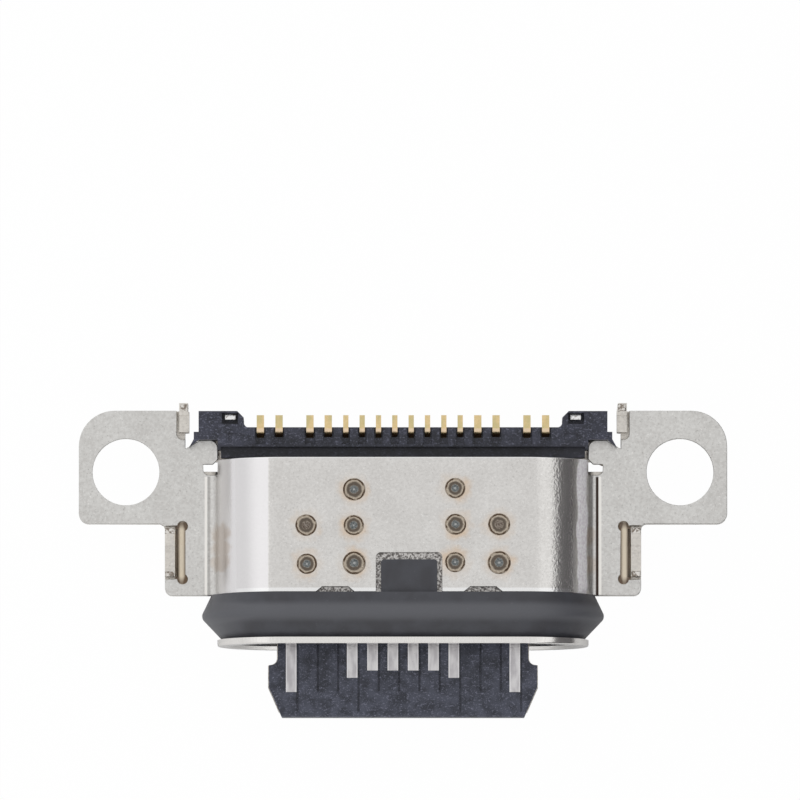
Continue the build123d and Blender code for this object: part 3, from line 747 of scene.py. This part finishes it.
# %% Set a weld on every point
def weld_tree(material):
    """A pressed ball on every point of a mesh, turned and sized as the point says and by chance."""
    sizes = {"Radius": weld_radius * MM, "Relief": weld_relief * MM, "Sink": weld_sink * MM}
    welds = Tree("spot_welds", sizes)
    vector, number = {"data_type": "FLOAT_VECTOR"}, {"data_type": "FLOAT"}
    full_turn = (0, 0, 2 * math.pi)
    spin = welds.add("FunctionNodeRandomValue", vector, {0: (0, 0, 0), 1: full_turn, "Seed": 3})
    facing = welds.add("GeometryNodeInputNamedAttribute", vector, {"Name": "turned"})
    rotation = welds.add("ShaderNodeVectorMath", {"operation": "ADD"}, {0: spin, 1: facing})
    chance = welds.add("FunctionNodeRandomValue", number, {2: 0.92, 3: 1.06, "Seed": 7}, output=1)
    size = chance * welds.add("GeometryNodeInputNamedAttribute", number, {"Name": "sized"})
    placing = {
        0: welds.input("Geometry"),
        "Instance": pressed_ball(welds),
        "Rotation": rotation,
        "Scale": size,
    }
    placed = welds.add("GeometryNodeInstanceOnPoints", None, placing)
    tone = welds.add("FunctionNodeRandomValue", number, {2: 0.0, 3: 1.0, "Seed": 11}, output=1)
    toned = welds.add(
        "GeometryNodeStoreNamedAttribute",
        {"data_type": "FLOAT", "domain": "INSTANCE"},
        {0: placed, "Name": "tone", "Value": tone},
    )
    welds.finish(toned, material)
    return welds


print("weld tree ready to build")

# %% [markdown]
# The finish of the welds is a set of rings: masks of the stored distance pick the colour, and a painted
# highlight whitens the middle of some. A second stored number differs from weld to weld, so some pits are
# blue-grey and others brown.


# %% The finish of a weld
def weld_finish():
    burnt = Finish("burnt_steel", metallic=1.0)
    reach = burnt.add("ShaderNodeAttribute", {"attribute_name": "reach"}, output="Fac")
    tone = burnt.add("ShaderNodeAttribute", {"attribute_name": "tone"}, output="Fac")
    grain = burnt.noise(0.03, 3.0)
    patch = burnt.noise(0.20, 2.0)
    uneven = reach + (burnt.noise(0.10, 2.0) - 0.5) * 0.20
    broken = patch.step(0.36, 0.50) * 0.70 + 0.30
    ring = uneven.step(0.80, 0.86) * (1 - uneven.step(0.94, 1.00)) * broken
    pit = uneven.step(0.32, 0.44) * (1 - uneven.step(0.60, 0.76))
    core = 1 - uneven.step(0.32, 0.44)
    # painted highlight: a pale glint in the middle of some welds
    painted_glint = (1 - uneven.step(0.04, 0.14)) * tone.step(0.3, 0.6)
    collar = burnt.mix(grain.step(0.3, 0.7), colour(206, 194, 177), colour(170, 157, 141))
    ringed = burnt.mix(ring * 0.95, collar, colour(74, 56, 42))
    pitted = burnt.mix(pit * 0.88, ringed, colour(86, 77, 70))
    blue = burnt.mix(grain.step(0.35, 0.65), colour(136, 140, 140), colour(90, 94, 95))
    brown = burnt.mix(grain.step(0.35, 0.65), colour(152, 142, 132), colour(92, 80, 72))
    heart = burnt.mix(core, pitted, burnt.mix(tone.step(0.35, 0.65), brown, blue))
    burnt.set("Base Color", burnt.mix(painted_glint * 0.4, heart, colour(236, 238, 236)))
    burnt.set("Roughness", grain * 0.15 + pit * 0.06 + 0.22)
    burnt.bump(grain, 0.003)
    return burnt.material


print("weld finish ready to build")


# %% Set the welds on their faces
def marked_points(name, rows):
    """A mesh of loose points, each with the turn and the size of the weld that stands on it."""
    mesh = bpy.data.meshes.new(name)
    mesh.from_pydata([place for place, turn, size in rows], [], [])
    mesh.attributes.new("turned", "FLOAT_VECTOR", "POINT")
    mesh.attributes.new("sized", "FLOAT", "POINT")
    for index, (place, turn, size) in enumerate(rows):
        mesh.attributes["turned"].data[index].vector = turn
        mesh.attributes["sized"].data[index].value = size
    return mesh


sheet_thickness = 0.25
arm_weld_size = 0.6
arm_welds = [(4.94, 0.33), (-5.01, 0.38)]
face_up, face_down = (0, 0, 0), (math.pi, 0, 0)
weld_faces = [
    (key_face_welds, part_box("top_bracket")[1].z, face_up, 1.0),
    (plain_face_welds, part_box("bottom_bracket")[0].z, face_down, 1.0),
    (plain_ear_welds, -sheet_thickness * MM, face_down, 1.0),
    (arm_welds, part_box("mid_plate")[0].z, face_down, arm_weld_size),
]
rows = [((x * MM, y * MM, z), turn, size) for places, z, turn, size in weld_faces for x, y in places]
print("weld places:", len(rows))


# %% Grow the welds
def grown(name, mesh, tree, values):
    """Run a tree on a mesh, and keep the result as a plain mesh."""
    piece = bpy.data.objects.new(name, mesh)
    bpy.context.scene.collection.objects.link(piece)
    modifier = piece.modifiers.new("nodes", "NODES")
    modifier.node_group = tree.tree
    for label, value in values.items():
        modifier[tree.identifiers[label]] = value
    result = settle(piece)
    result.shade_smooth()
    print(name, "faces:", len(result.polygons))
    return piece


weld_places = marked_points("weld_places", rows)
spot_welds = grown("spot_welds", weld_places, weld_tree(weld_finish()), {"Radius": weld_radius * MM})
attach(spot_welds, "root")

# %% [markdown]
# ## Torn ends of the tabs
# The sheets came off their carrier strips at small tabs, which were bent to and fro until they broke.
# Each torn end is a ragged lip of metal, with bright and dark grains. A short ridge of small lumps,
# moved by noise, makes it: a subdivided box whose points go in and out. This noise starts from the
# clock unless it is given a seed, so a fixed seed keeps the lips the same on every run.


# %% Torn steel
def torn_steel():
    steel = Finish("torn_steel", metallic=1.0)
    grain = steel.noise(0.07, 2.0)
    broken = steel.mix(grain.step(0.42, 0.60), colour(140, 130, 120), colour(236, 232, 226))
    steel.set("Base Color", broken)
    steel.set("Roughness", grain * 0.25 + 0.28)
    steel.bump(grain, 0.005)
    return steel.material


torn_finish = torn_steel()
print("torn steel ready")

# %% Ragged lips
tear_lump = 0.07
tear_reach = 0.022
tear_seed = 5
tears_on_the_right = [
    ((5.63, -1.52, 0.10), (5.85, -1.40, 0.37)),
    ((5.63, -2.58, 0.10), (5.85, -2.46, 0.37)),
    ((5.29, 1.50, 0.05), (5.48, 1.66, 0.37)),
]


def ragged_lip(work, low, high, seed):
    """Add a box between two corners in millimetres, with its points moved by noise."""
    centre = (Vector(low) + Vector(high)) / 2
    size = Vector(high) - Vector(low)
    before = len(work.verts)
    made = bmesh.ops.create_cube(work, size=1.0)["verts"]
    edges = list(dict.fromkeys(edge for vert in made for edge in vert.link_edges))
    bmesh.ops.subdivide_edges(work, edges=edges, cuts=5, use_grid_fill=True)
    work.verts.ensure_lookup_table()
    for vert in work.verts[before:]:
        place = Vector([vert.co[axis] * size[axis] for axis in range(3)]) + centre
        shift = noise.noise_vector(place / tear_lump + Vector((seed, seed, seed)))
        vert.co = (place + shift * tear_reach) * MM


noise.seed_set(tear_seed)
lips = bmesh.new()
for side in (-1, 1):
    for number, (low, high) in enumerate(tears_on_the_right):
        left, right = sorted((side * low[0], side * high[0]))
        ragged_lip(lips, (left, *low[1:]), (right, *high[1:]), number + 4 * side)
bmesh.ops.recalc_face_normals(lips, faces=lips.faces)
lip_mesh = bpy.data.meshes.new("torn_ends")
lips.to_mesh(lip_mesh)
lips.free()
lip_mesh.materials.append(torn_finish)
lip_mesh.shade_smooth()
torn_ends = bpy.data.objects.new("torn_ends", lip_mesh)
bpy.context.scene.collection.objects.link(torn_ends)
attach(torn_ends, "root")
print("torn ends:", len(lip_mesh.polygons), "faces")

# %% [markdown]
# ## Studio
# Bright steel shows what stands round it, so the studio matters as much as the finish. Here the world
# is the studio. Round the length of the part it is divided by angle: an even pale ceiling for the flat
# faces, a whiter wall on the left that falls off towards its foot, and a whiter panel on the right. The
# bands are masks of the angle from straight up, so their edges are crisp in the steel. Camera rays see
# plain white.

# %% World
ceiling_strength = 0.80
left_wall_gain = 0.16
left_foot_loss = 0.20
right_panel_gain = 0.12

world = bpy.data.worlds.new("studio")
bpy.context.scene.world = world
world.use_nodes = True
sky = world.node_tree
background = sky.nodes["Background"]
direction = add_node(sky, "ShaderNodeTexCoord", output="Generated")
sideways = add_node(sky, "ShaderNodeSeparateXYZ", None, {0: direction}, output=0)
upward = add_node(sky, "ShaderNodeSeparateXYZ", None, {0: direction}, output=2)
angle = sideways.math("ARCTAN2", upward) * (180 / math.pi)
left_wall = (1 - angle.step(-30, -26)) * left_wall_gain
left_foot = (1 - angle.step(-75, -40)) * left_foot_loss
right_panel = angle.step(26, 34) * right_panel_gain
strength = left_wall - left_foot + right_panel + ceiling_strength
is_camera = add_node(sky, "ShaderNodeLightPath", output="Is Camera Ray")
shown = strength * (1 - is_camera) + is_camera
sky.links.new(shown.socket, background.inputs["Strength"])
background.inputs["Color"].default_value = (1, 1, 1, 1)
print("world ready, ceiling strength", ceiling_strength)

# %% [markdown]
# ## A black card
# A black card stands just outside the picture on the right. The steel mirrors it as one dark band along
# its right-hand wrap, which gives the curve its shape. The camera itself does not see the card. The
# card and the floor are both flat panels of one matt tone, so two helpers make them.

# %% Card
card_x = 17.0
card_top = 9.5
card_foot = -2.6
card_reach = 50.0


def matt(name, tone):
    """A matt material of one tone."""
    material = bpy.data.materials.new(name)
    material.use_nodes = True
    shader = material.node_tree.nodes["Principled BSDF"]
    shader.inputs["Base Color"].default_value = tone
    shader.inputs["Roughness"].default_value = 0.9
    return material


def flat_panel(name, corners, material):
    """A flat panel of the studio through four corners in metres."""
    mesh = bpy.data.meshes.new(name)
    mesh.from_pydata(corners, [], [(0, 1, 2, 3)])
    mesh.materials.append(material)
    panel = bpy.data.objects.new(name, mesh)
    bpy.context.scene.collection.objects.link(panel)
    return panel


card_corners = [
    (card_x * MM, -card_reach * MM, card_foot * MM),
    (card_x * MM, card_reach * MM, card_foot * MM),
    (card_x * MM, card_reach * MM, card_top * MM),
    (card_x * MM, -card_reach * MM, card_top * MM),
]
card = flat_panel("black_card", card_corners, matt("black_card", (0.15, 0.145, 0.15, 1)))
card.visible_camera = False
print("card from", card_foot, "to", card_top, "mm high at x", card_x)

# %% [markdown]
# ## A soft lamp
# One large soft lamp from behind on the left adds a little direction to the rubber and the plastic. The
# steel doesn't mirror the lamp, which would bleach its flat faces from some sides. The power of an area
# lamp grows with its area, so it is worked out from the brightness of its face.

# %% Lamp
lamp_place = (-120, 160, 110)
lamp_side = 120
lamp_radiance = 1.5

lamp_data = bpy.data.lights.new("back_box", "AREA")
lamp_data.shape = "RECTANGLE"
lamp_data.size = lamp_side * MM
lamp_data.size_y = lamp_side * MM
lamp_data.energy = math.pi * lamp_data.size * lamp_data.size_y * lamp_radiance
lamp = bpy.data.objects.new("back_box", lamp_data)
lamp.location = Vector(lamp_place) * MM
lamp.rotation_euler = (-lamp.location).to_track_quat("-Z", "Y").to_euler()
lamp.visible_glossy = False
bpy.context.scene.collection.objects.link(lamp)
print("lamp of", round(lamp_data.energy, 4), "watts")

# %% [markdown]
# ## Floor
# The part lies on its gasket's lowest line and on the end of its rear tab. The floor passes through
# both, so it is tilted a few degrees in the part's own frame, as the part would lie on a table. To the
# camera the paper is nearly plain white. A small share of its own shading stays, for a faint shadow.

# %% Floor
gasket_ridge_y = -3.58 * MM
rear_tab_end_y = 1.07 * MM
floor_reach = 400 * MM
white_share = 0.985
gasket_low_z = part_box("gasket")[0].z
tab_low_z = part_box("bottom_bracket")[0].z
slope = (tab_low_z - gasket_low_z) / (rear_tab_end_y - gasket_ridge_y)


def floor_height(y):
    return gasket_low_z + slope * (y - gasket_ridge_y)


paper = matt("paper", (0.86, 0.86, 0.86, 1))
paper_tree = paper.node_tree
white = add_node(paper_tree, "ShaderNodeEmission", None, {"Color": (1, 1, 1, 1), "Strength": 1.0})
whiteness = add_node(paper_tree, "ShaderNodeLightPath", output="Is Camera Ray") * white_share
shaded = Signal(paper_tree, paper_tree.nodes["Principled BSDF"].outputs[0])
mixed = add_node(paper_tree, "ShaderNodeMixShader", None, {0: whiteness, 1: shaded, 2: white})
paper_tree.links.new(mixed.socket, paper_tree.nodes["Material Output"].inputs["Surface"])

low, high = -floor_reach, floor_reach
floor_corners = [(x, y, floor_height(y)) for x, y in ((low, low), (high, low), (high, high), (low, high))]
floor = flat_panel("floor", floor_corners, paper)
print("floor slope in degrees:", round(math.degrees(math.atan(slope)), 2))

# %% Picture settings
bpy.context.scene.view_settings.view_transform = "Standard"
